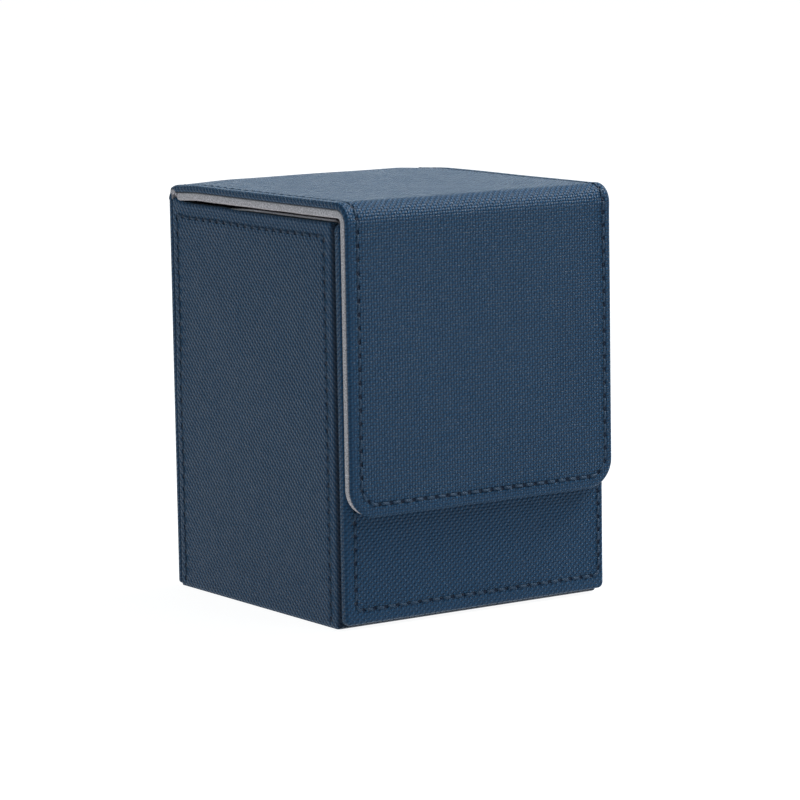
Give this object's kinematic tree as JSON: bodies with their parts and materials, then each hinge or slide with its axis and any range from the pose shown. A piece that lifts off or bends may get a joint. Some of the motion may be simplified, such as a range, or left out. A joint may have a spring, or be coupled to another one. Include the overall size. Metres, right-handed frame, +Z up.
{
  "type": "card deck box",
  "caption": "Upright rigid box for a deck of sleeved cards: leatherette over board, grey microfibre lining, soft-hinged lid that folds over into a magnetic front flap.",
  "frame": {"origin": "middle of the footprint, at the surface the box stands on", "axes": "+X to the box's right, -Y its front with the flap, +Z up"},
  "size_m": [0.0774, 0.082, 0.1029],
  "materials": {
    "leatherette": "navy leatherette embossed with a fine plain weave, satin",
    "microfibre": "pinkish grey microfibre, napped, matt",
    "greyboard": "raw greyboard",
    "thread": "dark navy polyester thread",
    "magnet": "nickel plated"
  },
  "bodies": {
    "case": {"side_wrap_skin": "leatherette", "left_board": "greyboard", "right_board": "greyboard", "base_board": "greyboard", "left_lining": "microfibre", "right_lining": "microfibre", "front_lining": "microfibre", "rear_lining": "microfibre", "base_lining": "microfibre", "front_panel_skin": "leatherette", "front_panel_board": "greyboard", "front_magnets": "magnet", "rear_panel_skin": "leatherette", "rear_panel_board": "greyboard", "left_wall_stitching": "thread", "right_wall_stitching": "thread", "front_panel_stitching": "thread", "rear_panel_stitching": "thread", "rear_hinge_skin": "leatherette", "rear_hinge_lining": "microfibre"},
    "lid": {"lid_skin": "leatherette", "lid_board": "greyboard", "lid_lining": "microfibre", "lid_lining_board": "greyboard", "lid_stitching": "thread", "front_fold_skin": "leatherette", "front_fold_lining": "microfibre"},
    "flap": {"flap_skin": "leatherette", "flap_board": "greyboard", "flap_lining": "microfibre", "flap_lining_board": "greyboard", "flap_magnets": "magnet", "flap_stitching": "thread"}
  },
  "joints": [
    {"name": "lid_hinge", "type": "hinge", "parent": "case", "child": "lid", "pos_m": [0, 0.04, 0.1016], "axis": [-1, 0, 0], "range_deg": [0, 175], "deforming": ["rear_hinge_skin", "rear_hinge_lining"]},
    {"name": "flap_fold", "type": "hinge", "parent": "lid", "child": "flap", "pos_m": [0, -0.0392, 0.1011], "axis": [-1, 0, 0], "range_deg": [0, 100], "deforming": ["front_fold_skin", "front_fold_lining"]}
  ]
}
